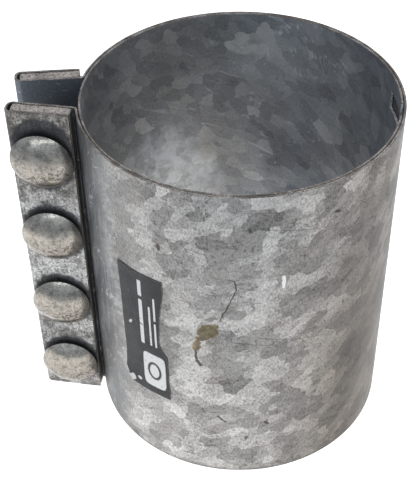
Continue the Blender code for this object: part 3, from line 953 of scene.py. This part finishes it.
def label_film():
    """A charcoal sticker with a pale rounded panel, a ring and plain bars, all scuffed."""
    paint = Paint("label_film", 0.0, 1.35)
    where = paint.sheet()
    mottle = paint.noise(where, 9, 3.0)
    fine = paint.noise(where, 0.9, 2.0)
    paint.colour = paint.mix(paint.step(mottle, 0.3, 0.7), (0.022, 0.0205, 0.0215), (0.045, 0.042, 0.043))
    scuff = paint.step(paint.noise(paint.mapped(where, (1.0, 0.5, 1.0)), 2.6, 5.0, 0.75), 0.60, 0.70)
    paint.cover(scuff, (0.20, 0.19, 0.19), 0.5)
    panel_place = (-145.6, 57.4)
    ink = spot(paint, where, panel_place, (5.9, 10.5), 0, 7.0)
    outside = spot(paint, where, panel_place, (3.7, 5.6))
    inside = spot(paint, where, panel_place, (2.5, 4.2))
    ink = paint.maths("SUBTRACT", ink, paint.maths("SUBTRACT", outside, inside))
    for place, low, high, half_width in (
        (-151.0, 72.6, 99.0, 1.0),
        (-151.0, 101.0, 110.0, 1.0),
        (-146.4, 73.4, 97.0, 0.5),
        (-143.8, 73.4, 88.0, 0.5),
        (-143.8, 89.6, 103.0, 0.5),
    ):
        row = spot(paint, where, (place, (low + high) / 2), (half_width, (high - low) / 2), 0, 12.0)
        ink = paint.plus(ink, row)
    worn = paint.step(paint.noise(where, 1.3, 4.0, 0.7), 0.66, 0.60)
    paint.cover(paint.times(ink, worn), (0.82, 0.79, 0.75))
    for centre, size in (
        ((-158.9, 45.4), (1.7, 2.3)),
        ((-154.6, 47.3), (1.3, 1.0)),
        ((-157.9, 81.5), (0.7, 1.6)),
    ):
        torn = spot(paint, where, centre, size, -35, 2.0, 1.8, 1.5)
        paint.cover(torn, (0.74, 0.71, 0.68), 0.9)
    crease = stroke(paint, paint.warped(where, 3, 1), (-158.6, 87.0), (-150.4, 84.0), 0.35)
    paint.cover(crease, (0.012, 0.012, 0.012), 0.9)
    height = paint.plus(paint.times(fine, 0.3), mottle)
    return paint.finish(paint.step(fine, 0.3, 0.7, 0.42, 0.58), height, 0.05)


def film_edge():
    """The sticker's torn paper edge."""
    paint = Paint("film_edge", 0.0)
    fibres = paint.noise(paint.place(), 0.5, 3.0)
    paint.colour = paint.mix(paint.step(fibres, 0.4, 0.6), (0.30, 0.27, 0.26), (0.72, 0.66, 0.62))
    return paint.finish(paint.step(fibres, 0.3, 0.7, 0.6, 0.85), fibres, 0.05)


# ---------------------------------------------------------------- pieces


def make_band(faces, edges):
    """The whole sheet band as one strip, from lug to lug, with bolt holes through both lugs."""
    leaf_start = 196 * MM
    outer_leaf = 240 * MM

    def waver(length):
        return 0.07 * MM * (1 + wave((length, 0, 0), 9 * MM))

    def dent(length, z):
        # Dents go into the barrel, and towards the bar in the lugs.
        into_bar = 2 * smooth_step(leaf_start - 8 * MM, leaf_start, abs(length)) - 1
        size = 0.05 * MM * (wave((length, z, 0), 24 * MM, 3.0) + into_bar)
        if abs(length) > outer_leaf:
            # The leaf outside the bar is drawn in a little between the bolts.
            size += 0.10 * MM * (1 + wave((length, z, 0), 14 * MM, 8.0))
        elif abs(length) > leaf_start:
            size += 0.02 * MM * (2 + wave((length, z, 0), 10 * MM, 5.0))
        return size

    piece = sheet_piece("band_sheet", band_stations(), SHEET, waver, dent, [faces, edges])
    cut(piece, [cutter for pair in zip(lug_punches(-1), lug_punches(1)) for cutter in pair])
    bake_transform(piece)
    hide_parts("band_nut_half", "band_bolt_half")


def make_liner(faces, edges, cut_faces):
    """The inner ring, open at its butt seam, with the bayonet notch cut from its top rim."""
    half_seam = SEAM_WIDTH / 2 / LINER_LINE
    start = SEAM_AZIMUTH + half_seam
    path = SheetPath(polar(LINER_LINE, start), start + math.pi / 2)
    path.bend(math.tau - 2 * half_seam, LINER_LINE, steps=288)
    # A left turn has its left side inward, so the sides are swapped to keep the first outward.
    stations = []
    for point, side, length in path.stations:
        stations.append((point, -side, length + SEAM_AZIMUTH * LINER_LINE))

    def waver(length):
        return 0.07 * MM * (1 + wave((length, 4, 0), 7 * MM))

    def dent(length, z):
        return 0.05 * MM * wave((length, z, 0), 26 * MM, 9.0)

    piece = sheet_piece("liner_sleeve", stations, LINER_SHEET, waver, dent, [faces, edges])
    past = 3 * MM
    cutters = []
    for end, high in ((NOTCH_TO, HEIGHT + past), (SLOT_TO, SLOT_TOP)):
        path = SheetPath(polar(LINER_LINE, NOTCH_FROM), NOTCH_FROM + math.pi / 2)
        path.bend(end - NOTCH_FROM, LINER_LINE, steps=12)
        rings = []
        for point, side, _ in path.stations:
            corners = ((past, SLOT_BOTTOM), (past, high), (-past, high), (-past, SLOT_BOTTOM))
            rings.append([(*(point + side * offset), z) for offset, z in corners])
        matrix = Matrix.Translation((BARREL_X, 0, 0))
        cutters.append(lofted_piece("notch", np.array(rings), [cut_faces], matrix=matrix))
    cut(piece, cutters)
    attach(piece, "nut_side")
    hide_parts("liner_ring")


def make_bar(name, hand, node, body, material):
    """A flat bar with rolled edges, gritty sawn ends and slightly uneven faces."""
    low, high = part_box(node)
    outline = []
    half_width = BAR_WIDTH / 2 - BAR_EDGE
    half_depth = BAR_THICKNESS / 2 - BAR_EDGE
    corner_steps = 3
    face_steps = 16
    for number, (x, y) in enumerate(((1, 1), (-1, 1), (-1, -1), (1, -1))):
        for step in range(corner_steps + 1):
            corner = polar(BAR_EDGE, (number + step / corner_steps) * math.pi / 2)
            outline.append(Vector((x * half_width, y * half_depth)) + corner)
        if number in (0, 2):
            # Points along the wide faces, so that the sawn end can be uneven.
            for step in range(1, face_steps):
                across = x * half_width * (1 - 2 * step / face_steps)
                outline.append(Vector((across, y * BAR_THICKNESS / 2)))
    burr = 0.3 * MM
    inside = 1.5 * MM
    levels = [low.z, low.z + burr]
    levels += list(np.linspace(low.z + inside, high.z - inside, 40))
    levels += [high.z - burr, high.z]
    rings = []
    for z in levels:
        at_end = z in (low.z, high.z)
        inset = 0.25 * MM if at_end else 0.0
        ring = []
        for point in outline:
            x = point.x - math.copysign(inset, point.x)
            y = point.y - math.copysign(inset, point.y)
            rough = 0.05 * MM * wave((x, y + hand, z), 4 * MM)
            sawn = 0.07 * MM * wave((x, y, hand), 3 * MM) if at_end else 0.0
            ring.append((x, y + rough, z + sawn))
        rings.append(ring)
    depth = SHEET + BAR_GAP_INSIDE + BAR_THICKNESS / 2
    along = lug_vectors(hand)[0]
    place = lug_matrix(hand, depth).translation
    matrix = Matrix.Translation(place) @ Matrix.Rotation(math.atan2(along.y, along.x), 4, "Z")
    piece = lofted_piece(name, np.array(rings), [material], matrix=matrix)
    cut(piece, lug_punches(hand))
    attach(piece, body)
    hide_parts(node)


def thread_radius(angles, height):
    """The bolt's thread at a height along its axis: a right-hand helix of rounded teeth."""
    turn = height / THREAD_PITCH - angles / math.tau
    tooth = np.clip(0.5 + 0.75 * np.cos(math.tau * turn), 0, 1)
    return THREAD_ROOT + (THREAD_CREST - THREAD_ROOT) * tooth


def bolt_rings(number):
    """A carriage bolt: forged dome, square neck, plain shank and rolled thread."""
    steps = 64
    angles = np.linspace(0, math.tau, steps, endpoint=False)
    dome_height = HEAD_HEIGHT - HEAD_RIM
    dome_radius = (HEAD_RADIUS**2 + dome_height**2) / (2 * dome_height)
    dome_angle = math.asin(HEAD_RADIUS / dome_radius)
    profile = [(0.02 * MM, -HEAD_HEIGHT)]
    rows = 22
    for row in range(1, rows + 1):
        angle = dome_angle * row / rows
        profile.append((dome_radius * math.sin(angle), dome_radius * (1 - math.cos(angle)) - HEAD_HEIGHT))
    profile += [
        (HEAD_RADIUS, -0.8 * MM),
        (HEAD_RADIUS - 0.15 * MM, -0.35 * MM),
        (HEAD_RADIUS - 0.55 * MM, 0.0),
        (HEAD_RADIUS - 3.5 * MM, 0.0),
    ]
    head_rows = len(profile)
    corner = (np.abs(np.cos(angles)) ** 8 + np.abs(np.sin(angles)) ** 8) ** (-1 / 8)
    for z in (0.0, NECK_LENGTH - 0.9 * MM):
        profile.append((NECK_HALF * corner, z))
    profile.append((NECK_HALF * (corner + 1) / 2, NECK_LENGTH - 0.3 * MM))
    profile.append((SHANK_RADIUS, NECK_LENGTH))
    thread_start = BOLT_LENGTH - THREAD_LENGTH
    profile.append((SHANK_RADIUS, thread_start - 1 * MM))
    count = round(THREAD_LENGTH / THREAD_PITCH * THREAD_ROWS)
    for row in range(count + 1):
        z = thread_start + THREAD_LENGTH * row / count
        into = smooth_step(0, THREAD_PITCH, z - thread_start)
        radius = SHANK_RADIUS + (thread_radius(angles, z) - SHANK_RADIUS) * into
        limit = THREAD_CREST - max(0.0, z - (BOLT_LENGTH - TIP_CHAMFER))
        profile.append((np.minimum(radius, limit), z))
    profile.append((THREAD_ROOT * 0.5, BOLT_LENGTH - 0.1 * MM))
    rings = turned_rings(profile, steps)
    # Uneven forging of the head.
    for ring in rings[:head_rows]:
        for point in ring:
            lump = 0.16 * MM * wave(point, 7 * MM, number * 3.1) + 0.05 * MM * wave(point, 2 * MM, number)
            outward = Vector((point[0], point[1], 0)) * 0.4 / HEAD_RADIUS
            if point[2] < -0.5 * MM:
                point += np.array((*(outward.xy * lump), -lump))
    return rings


def flat_washer_rings(number):
    """A stamped washer: rolled over on one face, sharp with a burr on the other."""
    profile = [
        (WASHER_BORE, 0.35 * MM),
        (WASHER_BORE + 0.35 * MM, 0.0),
        (WASHER_RADIUS - 0.15 * MM, 0.0),
        (WASHER_RADIUS, 0.15 * MM),
        (WASHER_RADIUS, WASHER_THICKNESS - 0.6 * MM),
        (WASHER_RADIUS - 0.2 * MM, WASHER_THICKNESS - 0.2 * MM),
        (WASHER_RADIUS - 0.7 * MM, WASHER_THICKNESS),
        (WASHER_BORE + 0.3 * MM, WASHER_THICKNESS),
        (WASHER_BORE, WASHER_THICKNESS - 0.3 * MM),
    ]
    rings = turned_rings(profile, steps=72)
    for ring in rings:
        for point in ring:
            point[2] += 0.05 * MM * wave(point, 8 * MM, number * 2.3)
    return rings


def spring_washer_rings():
    """A split ring of square wire, pressed nearly flat, its ends a little out of line."""
    steps = 72
    rise = 0.2 * MM
    width = SPRING_RADIUS - WASHER_BORE
    corner = 0.35 * MM
    section = []
    for x, z in rounded_square(0.5, corner / width, 3):
        section.append((x * width, (z + 0.5) * (SPRING_THICKNESS - rise)))
    middle = (SPRING_RADIUS + WASHER_BORE) / 2
    rings = []
    for step in range(steps + 1):
        part = step / steps
        angle = SPRING_SPLIT / 2 + (math.tau - SPRING_SPLIT) * part
        ring = []
        for x, z in section:
            point = polar(middle + x, angle)
            ring.append((point.x, point.y, z + rise * part))
        rings.append(ring)
    return np.array(rings)


def nut_rings(place):
    """A hexagon nut, chamfered on both faces, threaded on the helix of the bolt it sits on."""
    steps = 96
    clearance = 0.14 * MM
    angles = np.linspace(0, math.tau, steps, endpoint=False)
    flat = NUT_ACROSS_FLATS / 2
    from_flat = (angles + math.pi / 6) % (math.pi / 3) - math.pi / 6
    corner_limit = flat * 1.145
    outer = np.minimum(flat / np.cos(from_flat), corner_limit)
    face = flat * 0.97
    drop = np.maximum(outer - face, 0) * math.tan(math.radians(30))
    mouth = THREAD_CREST + 0.6 * MM
    top = NUT_THICKNESS
    profile = [(mouth, 0.0), (face, 0.0), (outer, drop), (outer, top - drop), (face, top), (mouth, top)]
    rows = round(top / THREAD_PITCH * THREAD_ROWS)
    for row in range(rows, -1, -1):
        z = 0.15 * MM + (top - 0.3 * MM) * row / rows
        countersink = mouth - min(z, top - z)
        thread = thread_radius(angles, z + place) + clearance
        profile.append((np.maximum(thread, countersink), z))
    return turned_rings(profile, steps)


def make_fasteners():
    """Four bolts, and the flat washer, spring washer and nut on each."""
    looks = {}
    for slot, base, light, metallic, rough_low, rough_high in (
        ("bolt_zinc", (0.36, 0.325, 0.28), (0.48, 0.437, 0.38), 0.95, 0.14, 0.25),
        ("washer_zinc", (0.40, 0.40, 0.39), (0.56, 0.56, 0.54), 0.7, 0.32, 0.48),
        ("nut_zinc", (0.44, 0.435, 0.42), (0.58, 0.57, 0.55), 0.75, 0.30, 0.44),
    ):
        looks[slot] = fastener_zinc(slot, base, light, metallic, rough_low, rough_high)
    head_seat, washer_seat = bolt_seats()
    washer_place = washer_seat - head_seat
    spring_place = washer_place + WASHER_THICKNESS + TOUCH_GAP
    nut_place = spring_place + SPRING_THICKNESS + TOUCH_GAP
    for number, height in enumerate(BOLT_HEIGHTS, start=1):
        washers = f"washers_{number}"
        flat = flat_washer_rings(number)
        split = spring_washer_rings()
        for name, node, body, slot, place, rings, closed in (
            ("carriage_bolt", "bolt", "bolt_side", "bolt_zinc", 0.0, bolt_rings(number), False),
            ("washer_flat", "flat_washer", washers, "washer_zinc", washer_place, flat, True),
            ("washer_spring", "spring_washer", washers, "washer_zinc", spring_place, split, False),
            ("nut_hex", "hex_nut", f"nut_{number}", "nut_zinc", nut_place, nut_rings(nut_place), True),
        ):
            matrix = bolt_matrix(height) @ Matrix.Translation((0, 0, place))
            piece = lofted_piece(f"{name}_{number}", rings, [looks[slot]], closed, matrix)
            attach(piece, body)
            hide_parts(f"{node}_{number}")


def make_label(film, edge):
    """The sticker, with a torn right edge and a lifted, torn lower corner."""
    # The outline's points are length along the band and height, in millimetres, clockwise.
    top = ((-163.5, 114.0), (-157.3, 113.8), (-156.4, 112.2), (-155.6, 113.7), (-139.3, 114.0))
    right = ((-139.3, 106.4), (-140.8, 98.0), (-141.9, 90.4), (-142.2, 83.0), (-142.5, 76.6))
    low_right = ((-141.4, 73.0), (-138.6, 69.0), (-138.4, 55.0), (-137.9, 42.3), (-147.0, 42.5))
    low_left = ((-153.1, 42.3), (-158.6, 42.7), (-160.6, 44.9), (-160.9, 47.6), (-163.0, 50.3))
    left = ((-162.3, 61.6), (-162.6, 78.5), (-162.8, 98.0))
    outline = top + right + low_right + low_left + left
    lift = 0.18 * MM
    thickness = 0.16 * MM
    shape = bmesh.new()
    corners = [shape.verts.new((x * MM, z * MM, 0)) for x, z in outline]
    shape.faces.new(corners)
    for start, end, step, normal in ((-165, -137, 1.4, (1, 0, 0)), (41, 115, 2.4, (0, 1, 0))):
        for place in np.arange(start, end, step):
            geometry = shape.verts[:] + shape.edges[:] + shape.faces[:]
            point = tuple(part * place * MM for part in normal)
            bmesh.ops.bisect_plane(shape, geom=geometry, plane_co=point, plane_no=normal)
    mesh = bpy.data.meshes.new("label_film")
    shape.to_mesh(mesh)
    shape.free()
    flat = np.array([vertex.co for vertex in mesh.vertices])
    sides = [tuple(polygon.vertices) for polygon in mesh.polygons]
    bpy.data.meshes.remove(mesh)
    borders = {pair: None for side in sides for pair in zip(side, side[1:] + side[:1])}
    rim = [pair for pair in borders if pair[::-1] not in borders]
    count = len(flat)
    points = []
    for level in (0.0, thickness):
        for length, z, _ in flat:
            ragged = 0.16 * MM * wave((length, z, 0), 1.5 * MM, 6.0)
            curl = math.hypot(length + 162 * MM, z - 45 * MM)
            raised = lift + level + 0.9 * MM * smooth_step(9 * MM, 0, curl)
            raised += 0.05 * MM * (1 + wave((length, z, 0), 6 * MM, 2.0))
            place = polar(BAND_RADIUS + raised, (length + ragged * 0.5) / BAND_LINE)
            points.append((place.x + BARREL_X, place.y, z + ragged * 0.4))
    faces = [side[::-1] for side in sides]
    faces += [tuple(corner + count for corner in side) for side in sides]
    faces += [(first, second, second + count, first + count) for first, second in rim]
    slots = [0] * (2 * len(sides)) + [1] * len(rim)
    places = [flat[corner % count][:2] for face in faces for corner in face]
    piece = dressed_piece("label_sticker", points, faces, [film, edge], slots, places)
    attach(piece, "bolt_side")
    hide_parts("label")


def make_object():
    edge = edge_zinc("sheared_edge", 0.45, (0.22, 0.18, 0.15), (0.56, 0.49, 0.43))
    # The liner's cut edge: near white and hardly metallic, a painted highlight.
    cut_edge_highlight = edge_zinc("cut_edge_highlight", 0.05, (0.78, 0.77, 0.76), (0.95, 0.94, 0.93))
    make_band(band_zinc(), edge)
    make_liner(liner_zinc(), edge, cut_edge_highlight)
    bar = bar_zinc()
    make_bar("bolt_lug_bar", -1, "bolt_bar", "bolt_side", bar)
    make_bar("nut_lug_bar", 1, "nut_bar", "nut_side", bar)
    make_fasteners()
    make_label(label_film(), film_edge())


# ---------------------------------------------------------------- studio


def make_camera():
    """Looks down on the clamp from in front, from a little to the right of the barrel's axis."""
    camera = bpy.data.objects.new("camera", bpy.data.cameras.new("camera"))
    bpy.context.collection.objects.link(camera)
    yaw = math.radians(-1.254)
    pitch = math.radians(42.114)
    roll = math.radians(0.162)
    place = Matrix.Translation((BARREL_X + 6.46 * MM, -386.26 * MM, 421.56 * MM))
    facing = Matrix.Rotation(-yaw, 4, "Z") @ Matrix.Rotation(math.pi / 2 - pitch, 4, "X")
    camera.matrix_world = place @ facing @ Matrix.Rotation(roll, 4, "Z")
    camera.data.sensor_width = 36
    camera.data.lens = 82.31
    camera.data.shift_x = -0.0585
    camera.data.shift_y = 0.0391
    camera.data.clip_start = 0.01
    bpy.context.scene.camera = camera


def make_floor():
    """A pale floor that glows as painted light, brightest round the object and behind it."""
    half = 3.0
    corners = [(-half, -half, 0), (half, -half, 0), (half, half, 0), (-half, half, 0)]
    paint = Paint("glowing_floor_paper", 0.0)
    where = paint.place()
    across, back = paint.parts(where)[:2]
    fibres = paint.noise(where, 2, 2.0)
    paint.link(paint.mix(fibres, (0.88, 0.88, 0.88), (0.92, 0.92, 0.92)), "Base Color")
    paint.shader.inputs["Roughness"].default_value = 0.9
    # The floor's glow is painted light: it lights the clamp as a lamp would.
    glow = paint.times(
        paint.step_mm(back, -400, -110),
        paint.times(paint.step_mm(across, 330, 125), paint.step_mm(across, -480, -240)),
    )
    # Inside the barrel the light falls on the right of the floor.
    offset = paint.node("ShaderNodeVectorMath", {0: where, 1: (BARREL_X, 0, 0)}, operation="DISTANCE")
    inside = paint.step_mm(offset.outputs["Value"], 69, 64)
    shade = paint.step_mm(across, -30, 40, 0.3, 1.0)
    shade = paint.plus(paint.times(inside, paint.plus(shade, -1.0)), 1.0)
    glow = paint.plus(paint.times(paint.times(glow, shade), 0.86), 0.10)
    paint.link(glow, "Emission Strength")
    paint.shader.inputs["Emission Color"].default_value = (1.0, 0.985, 0.96, 1.0)
    floor = new_piece("floor", corners, [(0, 1, 2, 3)], [paint.material])


def add_softbox(name, place, target, width, height, power, colour):
    light = bpy.data.lights.new(name, "AREA")
    light.shape = "RECTANGLE"
    light.size = width
    light.size_y = height
    light.energy = power
    light.color = colour
    lamp = bpy.data.objects.new(name, light)
    bpy.context.collection.objects.link(lamp)
    lamp.location = place
    lamp.rotation_euler = (Vector(target) - Vector(place)).to_track_quat("-Z", "Y").to_euler()


def make_studio():
    world = bpy.data.worlds.new("studio")
    bpy.context.scene.world = world
    world.use_nodes = True
    nodes = world.node_tree.nodes
    links = world.node_tree.links
    background = nodes["Background"]
    background.inputs["Color"].default_value = (0.77, 0.875, 1.0, 1.0)
    direction = nodes.new("ShaderNodeTexCoord")
    parts = nodes.new("ShaderNodeSeparateXYZ")
    ramp = nodes.new("ShaderNodeValToRGB")
    stops = ramp.color_ramp.elements
    stops[0].color = (0.50, 0.50, 0.50, 1.0)
    stops[1].position = 0.95
    stops[1].color = (0.22, 0.22, 0.22, 1.0)
    for place, level in ((0.15, 0.52), (0.42, 0.80), (0.62, 0.66)):
        stops.new(place).color = (level, level, level, 1.0)
    links.new(direction.outputs["Generated"], parts.inputs[0])
    links.new(parts.outputs["Z"], ramp.inputs[0])
    links.new(ramp.outputs["Color"], background.inputs["Strength"])
    add_softbox("overhead", (0.1, 0.7, 1.2), (0, 0, 0.05), 0.9, 0.9, 3.0, (1.0, 0.99, 0.97))
    add_softbox("front", (-0.1, -1.0, 0.92), (-0.08, 0, 0.1), 1.5, 0.1, 1.7, (0.84, 0.91, 1.0))
    bpy.context.scene.view_settings.view_transform = "Standard"


make_object()
make_floor()
make_studio()
make_camera()
